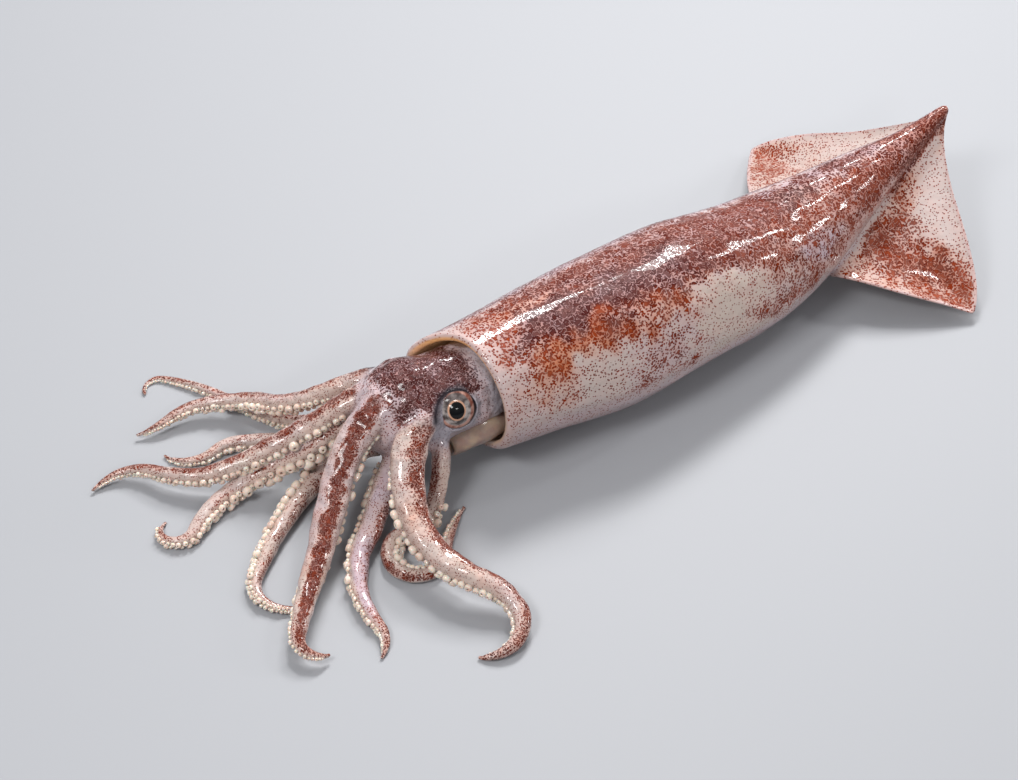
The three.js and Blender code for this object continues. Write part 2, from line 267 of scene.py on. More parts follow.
# Each fin is a sheet from a root line inside the tube to its outline: the front edge to the corner, then the
# back edge to the tail. It sags to the ground and thins towards its edge.
FIN_ROOT_THICKNESS = 3.2
FIN_EDGE_THICKNESS = 1.3
FIN_SAG = 5.0
FIN_FRONT_X = 149.0
FIN_FRONT = np.array([(149, 17, 11), (146, 28, 20), (181, 57.5, 2)], float)
FIN_BACK = np.array([(181, 57.5, 2), (196, 50, 16), (203, 6, 25)], float)
RIGHT_FIN_REACH = 1.045
FIN_ROWS = 120
FIN_COLUMNS = 52
FIN_CROWDING = 1.35
FIN_EDGE_ROUNDING, FIN_EDGE_LEFT = 0.035, 0.12
FIN_RIPPLE, FIN_RIPPLE_SIZE = 0.7, 14
FIN_CLEARANCE = 0.1


def bezier(points, t):
    """Points on a Bezier curve at each t."""
    row = [np.repeat(p[None], len(t), axis=0) for p in points]
    while len(row) > 1:
        row = [a + (b - a) * t[:, None] for a, b in zip(row, row[1:])]
    return row[0]


def fin_sheet(side, u, v):
    """The fin's middle sheet and its thickness, at shares u from root to edge and v from front to tail."""
    mirror = np.array([1, side * (RIGHT_FIN_REACH if side > 0 else 1), 1])
    tip = np.array([[MANTLE_LENGTH, 0, MANTLE_STATIONS[-1, 1] + MANTLE_STATIONS[-1, 2]]])
    front = bezier(FIN_FRONT * mirror, np.clip(2 * v, 0, 1))
    back = bezier(np.concatenate([FIN_BACK * mirror, tip]), np.clip(2 * v - 1, 0, 1))
    edge = np.where((v < 0.5)[:, None], front, back)
    root_x = FIN_FRONT_X + (MANTLE_LENGTH - 2 - FIN_FRONT_X) * v
    root_belly, root_radius, root_bow = mantle_at(root_x)
    root = np.stack([root_x, root_bow, root_belly + root_radius], axis=1)
    sheet = root + (edge - root) * u[:, None]
    thickness = FIN_ROOT_THICKNESS + (FIN_EDGE_THICKNESS - FIN_ROOT_THICKNESS) * u
    sheet[:, 2] -= FIN_SAG * 4 * u * (1 - u) * np.sin(math.pi * v)
    sheet[:, 2] += FIN_RIPPLE * u**2 * waves(sheet * (1, 1, 0), FIN_RIPPLE_SIZE, 11 + side)
    rounding = np.sqrt(1 - np.clip((u - 1) / FIN_EDGE_ROUNDING + 1, 0, 1) ** 2)
    thickness = thickness * np.maximum(rounding, FIN_EDGE_LEFT)
    sheet[:, 2] = np.maximum(sheet[:, 2], thickness / 2 + FIN_CLEARANCE)
    return sheet, thickness


fin_u = 1 - (1 - np.arange(FIN_COLUMNS + 1) / FIN_COLUMNS) ** FIN_CROWDING
fin_v = 0.02 + 0.97 * np.arange(FIN_ROWS + 1) / FIN_ROWS
v_grid, u_grid = np.meshgrid(fin_v, fin_u, indexing="ij")
fin_sheets = {}
for side in (-1, 1):
    sheet, thickness = fin_sheet(side, u_grid.ravel(), v_grid.ravel())
    half = thickness[:, None] / 2 * np.array([0, 0, 1])
    above = (sheet + half).reshape(*v_grid.shape, 3)
    below = (sheet - half).reshape(*v_grid.shape, 3)[:, ::-1]
    fin = loft(f"fin_{side}", np.concatenate([above, below], axis=1))
    face_outwards(fin)
    join = mantle.modifiers.new("join", "BOOLEAN")
    join.operation = "UNION"
    join.solver = "MANIFOLD"
    join.object = fin
    fin_sheets[side] = sheet
apply_modifiers(mantle)
for side in (-1, 1):
    bpy.data.objects.remove(bpy.data.objects[f"fin_{side}"])


def nearest(points, samples):
    """For each point, which sample lies nearest, and how far off it is."""
    tree = KDTree(len(samples))
    for i, sample in enumerate(samples):
        tree.insert(sample, i)
    tree.balance()
    found = [tree.find(p)[1:] for p in points]
    index, distance = zip(*found)
    return np.array(index), np.array(distance)


def mantle_places(points):
    """Distance behind the rim, degrees from the top (minus is the squid's left), and height over the skin."""
    belly, radius, bow = mantle_at(points[:, 0])
    angle = np.arctan2(points[:, 1] - bow, points[:, 2] - belly - radius)
    behind = (points[:, 0] + rim_reach(angle)) / (1 + rim_reach(angle) / RIM_BLEND)
    behind = np.where(behind < RIM_BLEND, behind, points[:, 0])
    belly, radius, bow = mantle_at(behind)
    over = np.hypot(points[:, 1] - bow, points[:, 2] - belly - radius) - radius
    return behind, np.degrees(angle), over


FIN_BEGINS = (140, 146)
SEAM_BEGINS = (143, 150)
SEAM_WIDTH, SEAM_REACH = 2.2, 4
points = points_of(mantle)
behind, around, over = mantle_places(points)
left_index, left_off = nearest(points, fin_sheets[-1])
right_index, right_off = nearest(points, fin_sheets[1])
on_left = left_off < right_off
fin_index = np.where(on_left, left_index, right_index)
fin_from_root, fin_from_front = u_grid.ravel()[fin_index], v_grid.ravel()[fin_index]
on_fin = step(over, 0.3, SEAM_WIDTH) * step(behind, *FIN_BEGINS)
seam = np.exp(-((over / SEAM_WIDTH) ** 2)) * step(behind, *SEAM_BEGINS)
seam *= np.minimum(left_off, right_off) < SEAM_REACH
smooth_where(mantle, seam, rounds=14)
smooth_where(mantle, np.full(len(points), 0.5), rounds=2)
points = points_of(mantle)
points[:, 2] = np.maximum(points[:, 2], 0)
move_points(mantle, points)
mantle.data.shade_smooth()

# The skin's markings, painted one over the other. Each is a place on the tube, as distances behind the rim in
# millimetres and angles from the top in degrees, how soft its edge is, and the skin there: how densely the
# pigment cells stand, how dark they are, how orange the flesh round them is, and how lilac.
PLAIN_SKIN = (0.14, 0.3, 0.04, 0.40)
MANTLE_MARKINGS = [
    ((2, 24, -46, 26), 3, (0.72, 0.32, 0.34, 0.60)),
    ((3, 24, -90, -44), 4, (0.26, 0.30, 0.18, 0.50)),
    ((16, 140, -42, 32), 4, (0.88, 0.58, 0.30, 0.65)),
    ((20, 100, 2, 30), 4, (0.84, 0.66, 0.34, 0.75)),
    ((12, 36, -4, 10), 4, (0.40, 0.25, 0.80, 0.20)),
    ((16, 96, -38, 1), 5, (1.00, 1.00, 0.10, 0.90)),
    ((13, 84, -54, -33), 5, (0.80, 0.42, 0.75, 0.45)),
    ((17, 38, -53, -38), 4, (0.66, 0.12, 1.00, 0.10)),
    ((10, 23, -76, -57), 4, (0.62, 0.25, 0.60, 0.20)),
    ((20, 28, -96, -74), 3, (0.58, 0.35, 0.35, 0.30)),
    ((28, 50, -100, -60), 4, (0.24, 0.70, 0.00, 0.20)),
    ((50, 80, -99, -56), 4, (0.58, 0.45, 0.22, 0.65)),
    ((79, 117, -108, -43), 5, (0.14, 0.50, 0.04, 0.08)),
    ((88, 136, -43, 2), 5, (0.92, 0.66, 0.30, 0.75)),
    ((93, 129, -2, 26), 4, (0.90, 0.62, 0.30, 0.80)),
    ((104, 152, -97, -77), 4, (0.72, 0.42, 0.35, 0.60)),
    ((113, 153, -77, -20), 6, (0.80, 0.50, 0.45, 0.60)),
    ((130, 148, -72, -50), 3, (0.50, 0.50, 0.10, 1.00)),
    ((128, 152, 6, 24), 4, (0.70, 0.70, 0.05, 0.95)),
    ((134, 151, -9, 9), 3, (0.92, 1.00, 0.20, 0.60)),
    ((151, 198, -84, -6), 5, (0.88, 0.52, 0.55, 0.75)),
    ((150, 192, -4, 30), 4, (0.84, 0.82, 0.15, 1.00)),
    ((184, 225, -200, 200), 6, (0.84, 0.66, 0.50, 0.80)),
]
LILAC_FLANK = (0.74, 0.75, 0.10, 1.00)
PALE_BELLY = (0.10, 0.5, 0.04, 0.70)
RAGGED_ALONG, RAGGED_AROUND = 6, 9
MANTLE_SOFTNESS = (4.2, 5.8)
DORSAL_LINE = -12.0
FAR_SHIFT = 8
LILAC_BEGINS, FAR_SIDE_BEGINS = (26, 38), (40, 56)
ABOVE_BELLY, BELLY_ENDS = (-104, 78, 14), (150, 175)


def paint(skin, mask, values):
    """Lays the values over the skin where the mask is."""
    return skin + (np.array(values) - skin) * mask[:, None]


def within(place, low, high, soft):
    """1 between the two places, 0 beyond them, and smooth where it ends."""
    return step(place, low - soft / 2, low + soft / 2) * (1 - step(place, high - soft / 2, high + soft / 2))


SKIN_VALUES = ("crowding", "dark", "orange", "lilac")
LONE_DOT_REDNESS = 0.3


def store_skin(piece, skin):
    """Keeps the skin's values at each point, with lone dots redder than crowded cells."""
    skin[:, 1] -= LONE_DOT_REDNESS * (1 - step(skin[:, 0], 0.3, 0.6))
    store(piece, **dict(zip(SKIN_VALUES, skin.T)))


def painted(plain, markings, place, softness):
    """The plain skin with each marking painted on, where both places are within its ranges."""
    skin = np.repeat(np.array([plain]), len(place[0]), axis=0)
    for (a0, a1, b0, b1), soft, values in markings:
        first = within(place[0], a0, a1, soft * softness[0])
        second = within(place[1], b0, b1, soft * softness[1])
        skin = paint(skin, first * second, values)
    return skin


points = points_of(mantle)
ragged = [0.6 * waves(points, 7, seed) + 0.5 * waves(points, 3, seed + 1) for seed in (21, 23)]
ragged_along, ragged_around = RAGGED_ALONG * ragged[0], RAGGED_AROUND * ragged[1]
shown_place = (behind + ragged_along, around + ragged_around)
far_place = (behind + FAR_SHIFT + ragged_along, 2 * DORSAL_LINE - around + ragged_around)
shown_side = painted(PLAIN_SKIN, MANTLE_MARKINGS, shown_place, MANTLE_SOFTNESS)
far_side = painted(PLAIN_SKIN, MANTLE_MARKINGS, far_place, MANTLE_SOFTNESS)
skin = paint(shown_side, step(around, *LILAC_BEGINS), LILAC_FLANK)
to_far = step(around, *FAR_SIDE_BEGINS)[:, None]
skin = skin * (1 - to_far) + far_side * to_far
belly_mask = 1 - within(around, *ABOVE_BELLY)
skin = paint(skin, belly_mask * (1 - step(behind, *BELLY_ENDS)), PALE_BELLY)

# The fins' own markings, at shares from root to edge and from the front round the corner to the tail, all as
# soft as each other.
PALE_FIN = (0.14, 0.25, 0.00, 0.35)
FIN_MARKINGS = [
    ((0.55, 1.10, -0.1, 0.44), 1, (0.46, 0.25, 0.35, 0.35)),
    ((-0.1, 0.30, -0.1, 0.70), 1, (0.60, 0.35, 0.45, 0.35)),
    ((0.24, 0.78, 0.26, 0.56), 1, (0.84, 0.50, 0.40, 0.45)),
    ((0.55, 0.80, 0.42, 0.60), 1, (0.90, 0.60, 0.60, 0.40)),
    ((0.80, 1.10, 0.40, 0.60), 1, (0.86, 0.35, 0.45, 0.35)),
    ((-0.1, 0.16, 0.60, 1.10), 1, (0.70, 0.55, 0.60, 0.30)),
    ((-0.1, 1.10, 0.90, 1.10), 1, (0.85, 0.60, 0.70, 0.30)),
]
FAR_FIN_MARKINGS = [
    ((0.40, 1.10, 0.20, 0.60), 1, (0.34, 0.15, 0.15, 0.30)),
    ((0.70, 1.10, 0.34, 0.56), 1, (0.66, 0.20, 0.35, 0.30)),
    ((-0.1, 0.40, -0.1, 0.50), 1, (0.50, 0.30, 0.50, 0.30)),
    ((-0.1, 0.14, 0.50, 1.10), 1, (0.60, 0.60, 0.50, 0.40)),
]
FAR_PALE_FIN = (0.16, 0.30, 0.04, 0.30)
FIN_EDGE = (0.26, 0.30, 0.22, 0.60)
FIN_EDGE_BEGINS = (0.955, 0.985)
RIM_SKIN = (0.16, 0.35, 0.12, 0.50)
RIM_ENDS, LINING_BEGINS, LINING_ENDS = (1.0, 4.5), (0.9, 2.0), (30, 40)
fin_place = (fin_from_root + 0.05 * ragged[0], fin_from_front + 0.04 * ragged[1])
left_fin_skin = painted(PALE_FIN, FIN_MARKINGS, fin_place, (0.16, 0.16))
right_fin_skin = painted(FAR_PALE_FIN, FAR_FIN_MARKINGS, fin_place, (0.20, 0.14))
both_fins = np.where(on_left[:, None], left_fin_skin, right_fin_skin)
both_fins = paint(both_fins, step(fin_from_root, *FIN_EDGE_BEGINS), FIN_EDGE)
skin = skin * (1 - on_fin)[:, None] + both_fins * on_fin[:, None]
lining = step(-over, *LINING_BEGINS) * (1 - step(behind, *LINING_ENDS))
rim = (1 - step(behind, *RIM_ENDS)) * (1 - lining)
skin = paint(skin, rim, RIM_SKIN)
store_skin(mantle, skin)
# top marks the upper lining, where the material lays painted light and a painted glow.
store(mantle, lining=lining, top=within(around, -40, 60, 50))


# Squid skin is wet and half clear. Pigment cells stand in it: far apart they are dots, and closer they crowd
# into a dark maze with thin pale lines between. Every part of the animal uses it, with its own values.
def linear(red, green, blue):
    """A colour from its everyday 0 to 255 values."""
    values = [v / 255 for v in (red, green, blue)]
    return tuple([v / 12.92 if v <= 0.04045 else ((v + 0.055) / 1.055) ** 2.4 for v in values] + [1.0])


def feed(tree, node, values):
    """Sets each of the node's own sockets to its value, or links it to the socket that gives it."""
    for key, value in values.items():
        if isinstance(value, bpy.types.NodeSocket):
            tree.links.new(value, node.inputs[key])
        else:
            node.inputs[key].default_value = value


def add_node(tree, kind, inputs=None, **settings):
    """A shader node of that kind, with its settings made and its inputs fed."""
    made = tree.nodes.new(f"ShaderNode{kind}")
    for name, value in settings.items():
        setattr(made, name, value)
    feed(tree, made, inputs or {})
    return made


def maths(tree, operation, *values):
    return add_node(tree, "Math", dict(enumerate(values)), operation=operation).outputs[0]


def mixed(tree, share, first, second, blend="MIX"):
    """The colour between two others."""
    inputs = {0: share, 6: first, 7: second}
    return add_node(tree, "Mix", inputs, data_type="RGBA", blend_type=blend).outputs[2]


def blended(tree, share, first, second):
    """The value between two others."""
    return add_node(tree, "Mix", {0: share, 2: first, 3: second}, data_type="FLOAT").outputs[0]


def noise(tree, place, scale, detail, output="Fac"):
    """Smooth noise over the places."""
    inputs = {"Vector": place, "Scale": scale, "Detail": detail}
    return add_node(tree, "TexNoise", inputs).outputs[output]


def packed(tree, place, size, **settings):
    """The outputs of a pattern of packed cells of that size."""
    inputs = {"Vector": place, "Scale": 1 / size}
    return add_node(tree, "TexVoronoi", inputs, **settings).outputs


def moved(tree, operation, *values):
    """Vector arithmetic."""
    return add_node(tree, "VectorMath", dict(enumerate(values)), operation=operation).outputs[0]


def ranged(tree, value, low, high, to_low=0.0, to_high=1.0):
    """A value taken smoothly from one range to another."""
    inputs = {"Value": value, "From Min": low, "From Max": high, "To Min": to_low, "To Max": to_high}
    return add_node(tree, "MapRange", inputs, interpolation_type="SMOOTHSTEP").outputs[0]


def read(tree, name):
    """A value kept on the mesh."""
    return add_node(tree, "Attribute", attribute_name=name).outputs["Fac"]


def new_group(name, inputs, outputs):
    """An empty shader group with its sockets, given as names and kinds."""
    group = bpy.data.node_groups.new(name, "ShaderNodeTree")
    for socket, kind in inputs:
        group.interface.new_socket(socket, in_out="INPUT", socket_type=f"NodeSocket{kind}")
    for socket, kind in outputs:
        group.interface.new_socket(socket, in_out="OUTPUT", socket_type=f"NodeSocket{kind}")
    return group, group.nodes.new("NodeGroupInput"), group.nodes.new("NodeGroupOutput")


squid_skin, given, result = new_group(
    "squid skin",
    [("Place", "Vector"), ("Crowding", "Float"), ("Dark", "Float"), ("Orange", "Float"), ("Lilac", "Float")],
    [("Colour", "Color"), ("Height", "Float"), ("Film", "Float")],
)
CELL_SIZE = 2.2 * MM
DOT_SPACING = 0.9 * MM
DRIFT, DRIFT_SCALE = 3.4, 380.0
COIL_SCALE, COIL_TURNS, COIL_GAP = 460.0, 3.5, 0.75
CLOUD_SCALE = 160.0
MAZE_BEGINS = (0.30, 0.46)
WIDEST_LINE, FINEST_LINE = 0.24, 0.045
DULLEST_FILM = 0.15
CREAM = linear(190, 174, 162)
LILAC = linear(182, 164, 173)
PINK = linear(198, 162, 154)
ORANGE = linear(196, 120, 80)
PIGMENT_HAZE = linear(222, 196, 190)
RUST_CELL = linear(126, 38, 2)
BROWN_CELL = linear(80, 17, 4)
PURPLE_CELL = linear(60, 12, 10)
RUST_CORE = linear(166, 80, 42)
PURPLE_CORE = linear(96, 50, 46)
CORE_SHARE = 0.28
tree = squid_skin
place = given.outputs["Place"]
drift = noise(tree, place, DRIFT_SCALE, 1.0, "Color")
centred = moved(tree, "SUBTRACT", drift, (0.5, 0.5, 0.5))
pushed = moved(tree, "MULTIPLY_ADD", centred, (DRIFT * MM,) * 3, place)
walls = packed(tree, pushed, CELL_SIZE, feature="DISTANCE_TO_EDGE")["Distance"]
cell_tone = packed(tree, pushed, CELL_SIZE)["Color"]
dots = packed(tree, place, DOT_SPACING)["Distance"]
coils = noise(tree, place, COIL_SCALE, 0.0)
clouds = noise(tree, place, CLOUD_SCALE, 3.0)
cell_random = add_node(tree, "SeparateColor", {"Color": cell_tone}).outputs
uneven = ranged(tree, clouds, 0.3, 0.7, -0.16, 0.12)
crowding = maths(tree, "ADD", given.outputs["Crowding"], uneven)
coil_phase = maths(tree, "FRACT", maths(tree, "MULTIPLY", coils, COIL_TURNS))
coil_line = maths(tree, "ABSOLUTE", maths(tree, "SUBTRACT", coil_phase, 0.5))
coil_gap = maths(tree, "MULTIPLY", coil_line, COIL_GAP)
line_gap = maths(tree, "MINIMUM", walls, coil_gap)
wall_width = ranged(tree, crowding, 0.25, 1.0, WIDEST_LINE, FINEST_LINE)
inside_cell = maths(tree, "SUBTRACT", line_gap, wall_width)
maze = ranged(tree, inside_cell, -0.015, 0.025)
maze = maths(tree, "MULTIPLY", maze, ranged(tree, crowding, *MAZE_BEGINS))
dot_size = ranged(tree, crowding, 0.0, 0.6, 0.26, 0.44)
dot = ranged(tree, maths(tree, "SUBTRACT", dot_size, dots), -0.03, 0.06)
pigment = maths(tree, "MAXIMUM", maze, dot)
flesh = mixed(tree, given.outputs["Lilac"], CREAM, LILAC)
flesh = mixed(tree, ranged(tree, clouds, 0.35, 0.75, 0.0, 0.35), flesh, PINK)
flush = ranged(tree, clouds, 0.25, 0.6, 0.55, 1.0)
orange = maths(tree, "MULTIPLY", given.outputs["Orange"], flush)
flesh = mixed(tree, orange, flesh, ORANGE)
haze = ranged(tree, crowding, 0.35, 1.0)
flesh = mixed(tree, haze, flesh, PIGMENT_HAZE, "MULTIPLY")
cell_shade = ranged(tree, cell_random[1], 0.0, 1.0, -0.08, 0.08)
dark = maths(tree, "ADD", given.outputs["Dark"], cell_shade)
cell_colour = mixed(tree, ranged(tree, dark, 0.2, 0.7), RUST_CELL, BROWN_CELL)
cell_colour = mixed(tree, ranged(tree, dark, 0.6, 1.0), cell_colour, PURPLE_CELL)
core_colour = mixed(tree, ranged(tree, dark, 0.3, 1.0), RUST_CORE, PURPLE_CORE)
core = maths(tree, "MULTIPLY", ranged(tree, inside_cell, 0.05, 0.15, 0.0, CORE_SHARE), maze)
cell_colour = mixed(tree, core, cell_colour, core_colour)
strength = ranged(tree, cell_random[2], 0.0, 1.0, 0.82, 1.0)
cover = maths(tree, "MULTIPLY", pigment, strength)
feed(tree, result, {
    "Colour": mixed(tree, cover, flesh, cell_colour),
    "Height": maths(tree, "SUBTRACT", 1.0, pigment),
    "Film": ranged(tree, pigment, 0.0, 1.0, 1.0, DULLEST_FILM),
})


def new_material(name):
    """A material with its principled shader."""
    material = bpy.data.materials.new(name)
    material.use_nodes = True
    tree = material.node_tree
    return material, tree, tree.nodes["Principled BSDF"]


def finish_wet(tree, shader, roughness, soft, depth):
    """The even parts of a wet, half-clear flesh: its gloss, and how far light goes into it."""
    feed(tree, shader, {
        "Roughness": roughness,
        "Specular IOR Level": 0.06,
        "Coat Weight": 1.0,
        "Coat Roughness": 0.06,
        "Coat IOR": 1.38,
        "Subsurface Weight": soft,
        "Subsurface Radius": (1.0, 0.45, 0.3),
        "Subsurface Scale": depth * MM,
    })


def place_in(tree):
    return add_node(tree, "TexCoord").outputs["Object"]


def skin_in(tree, place):
    """The squid skin, fed with the values that its mesh keeps."""
    values = {name.capitalize(): read(tree, name) for name in SKIN_VALUES}
    return add_node(tree, "Group", {"Place": place, **values}, node_tree=squid_skin).outputs


def relief_in(tree, height, distance, strength=1.0):
    """A bump from a height."""
    inputs = {"Height": height, "Distance": distance * MM, "Strength": strength}
    return add_node(tree, "Bump", inputs).outputs["Normal"]


mantle_material, tree, shader = new_material("mantle skin")
finish_wet(tree, shader, 0.42, 0.03, 0.5)
place = place_in(tree)
skin_made = skin_in(tree, place)
# The lining is amber towards the top. This is partly its own colour and partly painted light, standing for
# light that shines through the thin wall there. A faint painted glow is added there too, though no lamp
# lights it.
AMBER_AND_PAINTED_GLOW = linear(204, 150, 100)
LINING_PAINTED_GLOW = 0.25
lining_with_painted_light = mixed(tree, read(tree, "top"), linear(190, 160, 140), AMBER_AND_PAINTED_GLOW)
colour = mixed(tree, read(tree, "lining"), skin_made["Colour"], lining_with_painted_light)
painted_glow = maths(tree, "MULTIPLY", read(tree, "lining"), read(tree, "top"))
height = maths(tree, "MULTIPLY_ADD", noise(tree, place, 240.0, 1.0), 2.4, skin_made["Height"])
feed(tree, shader, {
    "Base Color": colour,
    "Coat Weight": skin_made["Film"],
    "Emission Color": mixed(tree, painted_glow, linear(0, 0, 0), AMBER_AND_PAINTED_GLOW),
    "Emission Strength": LINING_PAINTED_GLOW,
    "Normal": relief_in(tree, height, 0.2),
})
mantle.data.materials.clear()
mantle.data.materials.append(mantle_material)
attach(mantle, "root")
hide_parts("mantle_and_fins")

# HEAD AND ARMS: a short neck and head sunk in the mantle's mouth, swollen at the eyes, and ten arms that
# spring from a crown in front of them. It is all one flesh, fused by remeshing and smoothed in the forks.
CROWN = np.array([-13, 6.5, 26])
CROWN_RING = 11.0
# Distance along the squid, sideways place, height and radius of the head.
HEAD_STATIONS = np.array([
    (-34, 7.5, 25.2, 6.0),
    (-30, 7.4, 25.4, 11.5),
    (-23, 7.2, 25.8, 15.6),
    (-16, 6.8, 26.4, 16.2),
    (-7, 4.2, 27.4, 14.7),
    (2, 2.4, 27.8, 14.2),
    (12, 1.4, 27.6, 13.2),
    (20, 0.5, 27.4, 12.0),
])
ARM_TIP_RADIUS = 0.7
ARM_TAPER = 0.5
ARM_FLAT, ARM_RIDGE = 0.18, 0.05
ARM_SIDES, ARM_STEP = 30, 0.7
# Each arm: its turn round the crown from the top (plus to the right), radius, the length over which it comes
# down, and its first course in plan. Then the angle from up, towards the left of its heading, that its
# suckers face at the root and at the tip, that its dark stripe faces, how wide a cup is, how dark the stripe
# is, how warm and how lilac the sides are, and its arcs as lengths and turns.
ARM_VALUES = (
    "turn", "radius", "drop", "course", "suckers", "stripe", "cup", "dapple", "warm", "lilac", "arcs",
)
ARMS = [dict(zip(ARM_VALUES, values)) for values in [
    (110, 3.0, 45, 163, (125, 125), 0, 1.35, 0.5, 0.35, 0.4, [(22, -39), (45, -16), (23, 20), (12, 141)]),
    (80, 4.6, 68, 130, (110, 110), -20, 1.7, 0.5, 0.35, 0.4, [(20, 18), (26, -40), (36, 75), (12, -25)]),
    (140, 4.2, 40, 143, (125, 125), 0, 1.8, 0.2, 0.2, 0.3, [(55, 0), (10, 48), (19, -94)]),
    (38, 4.8, 75, 181, (120, 120), -10, 1.8, 0.62, 0.4, 0.35, [(20, -23), (42, -2), (25, -42), (23, 87)]),
    (5, 5.2, 70, 150, (110, 95), 60, 2.3, 0.55, 0.3, 0.5, [(31, 16), (14, -17), (39, 67), (21, -206)]),
    (178, 4.8, 40, 165, (-65, -65), 60, 2.0, 0.4, 0.3, 0.4, [(25, -18), (8, 52), (50, 21), (25, 142)]),
    (-12, 6.8, 75, 171, (150, 240), 20, 1.9, 0.95, 0.35, 0.7, [(12, 4), (27, 41), (54, 10), (15, 139)]),
    (-150, 5.4, 45, 170, (-95, -95), 75, 1.8, 0.45, 0.15, 0.9, [(22, 46), (20, -3), (37, 57), (13, -65)]),
    (-62, 6.6, 60, 182, (-120, -120), 40, 1.9, 0.6, 0.5, 0.35, [(18, 42), (53, 82), (9, -32), (28, -145)]),
    (-110, 3.8, 25, 254, (75, 75), -60, 2.0, 0.6, 0.35, 0.3, [(34, -82), (15, 96), (22, 140), (24, -19)]),
]]
# Four arms hump over a neighbour: how far along, how high and how broad. One springs from nearer the crown's
# middle, and on one the two rows of suckers stand further apart.
for n, hump in {1: (70, 3, 25), 3: (70, 4, 30), 6: (88, 3, 28), 8: (60, 6, 22)}.items():
    ARMS[n]["hump"] = hump
ARMS[4]["ring"] = 2
ARMS[6]["row_spread"] = 40


def arm_line(arm):
    """The arm's distances, centres, sideways directions and radii, every ARM_STEP along it."""
    lengths, turns = np.array(arm["arcs"], float).T
    total = lengths.sum()
    s = np.linspace(0, total, round(total / ARM_STEP) + 1)
    turned = np.interp(s, np.append(0, lengths.cumsum()), np.append(0, turns.cumsum()))
    heading = np.radians(arm["course"] + turned)
    turn = math.radians(arm["turn"])
    ring = arm.get("ring", CROWN_RING)
    root = CROWN + ring * np.array([0, math.sin(turn), math.cos(turn)])
    forward = np.stack([np.cos(heading), np.sin(heading)], axis=1)
    moves = (forward[1:] + forward[:-1]) / 2 * np.diff(s)[:, None]
    plan = root[:2] + np.concatenate([np.zeros((1, 2)), moves.cumsum(axis=0)])
    radius = np.maximum(arm["radius"] * (1 - s / total) ** ARM_TAPER, ARM_TIP_RADIUS)
    height = radius + (root[2] - arm["radius"]) * (1 - step(s / arm["drop"], 0, 1))
    if "hump" in arm:
        at, rise, spread = arm["hump"]
        height += rise * np.exp(-(((s - at) / spread) ** 2))
    sideways = np.stack([-np.sin(heading), np.cos(heading), 0 * s], axis=1)
    return s, np.column_stack([plan, height]), sideways, radius


def suckers_face(arm, share):
    """The angle from up that the arm's suckers face, at a share of its length."""
    at_root, at_tip = arm["suckers"]
    return at_root + (at_tip - at_root) * step(share, 0.3, 1)


UP = np.array([0, 0, 1.0])


def head_at(x):
    """The head's middle and radius at distances along the squid."""
    side, height, radius = smooth_between(HEAD_STATIONS, np.ravel(x)).T
    return np.stack([np.ravel(x), side, height], axis=1), radius


# The eyes sit in the sides of the head, and a lid rises round each.
EYE_LOOKS = {"left_eye": (244, 18), "right_eye": (100, -10)}
LID_RADIUS = 7.3
LID_THICKNESS = 0.75
LID_SIDES = 48
LID_ROUND = 14
EYE_OPENING = 6.5


def eye_place(node):
    """The eyeball's middle and radius, from its frame box, and the way that it looks."""
    low, high = (np.array(corner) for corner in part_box(node))
    course, rise = (math.radians(a) for a in EYE_LOOKS[node])
    look = np.array([math.cos(course) * math.cos(rise), math.sin(course) * math.cos(rise), math.sin(rise)])
    return ((low + high) / 2 - MOUTH_MIDDLE) / MM, (high[2] - low[2]) / 2 / MM, look


def cross_frame(look):
    """Two directions square to one, the second as near upwards as it can be."""
    across = np.cross(UP, look)
    across /= np.linalg.norm(across)
    return across, np.cross(look, across)


HEAD_RINGS, HEAD_SIDES = 90, 80
NECK_FOLDS, FOLD_DEPTH = 7, 0.35
FLESH_VOXEL = 0.52
SIDEWAYS = (0, 1, 0)
head_x = np.linspace(HEAD_STATIONS[0, 0], HEAD_STATIONS[-1, 0], HEAD_RINGS)
middles, radii = head_at(head_x)
angles = ring_turns(HEAD_SIDES)
folds = FOLD_DEPTH * np.outer(step(head_x, -8, 4), np.cos(NECK_FOLDS * angles + 0.6))
head_rings = middles[:, None] + (radii[:, None] + folds)[..., None] * circle(angles, UP, SIDEWAYS)
flesh_pieces = [loft("head", head_rings)]
arm_lines = [arm_line(arm) for arm in ARMS]
angles = ring_turns(ARM_SIDES)
for n, (arm, (s, centres, sideways, radius)) in enumerate(zip(ARMS, arm_lines)):
    facing = np.radians(suckers_face(arm, s / s[-1]))
    cosine = np.cos(angles[None] - facing[:, None])
    shape = 1 - ARM_FLAT * np.maximum(0, cosine) ** 2 + ARM_RIDGE * np.maximum(0, -cosine) ** 6
    radial = np.cos(angles)[None, :, None] * UP + np.sin(angles)[None, :, None] * sideways[:, None]
    flesh_pieces.append(loft(f"arm_{n}", centres[:, None] + (radius[:, None] * shape)[..., None] * radial))
for node in EYE_LOOKS:
    middle, ball, look = eye_place(node)
    across, upward = cross_frame(look)
    outward = circle(ring_turns(LID_SIDES), across, upward)[:, None]
    round_lid = ring_turns(LID_ROUND)[:, None]
    centre = middle + look * math.sqrt(ball**2 - LID_RADIUS**2) + LID_RADIUS * outward
    lid = centre + LID_THICKNESS * (np.cos(round_lid) * outward + np.sin(round_lid) * look)
    ring, spot = np.meshgrid(np.arange(LID_SIDES), np.arange(LID_ROUND), indexing="ij")
    row, next_row, next_spot = ring * LID_ROUND, (ring + 1) % LID_SIDES * LID_ROUND, (spot + 1) % LID_ROUND
    quads = np.stack([row + spot, next_row + spot, next_row + next_spot, row + next_spot], axis=-1)
    faces = quads.reshape(-1, 4).tolist()
    flesh_pieces.append(place_mesh(f"lid_{node}", in_frame(lid.reshape(-1, 3)), faces))


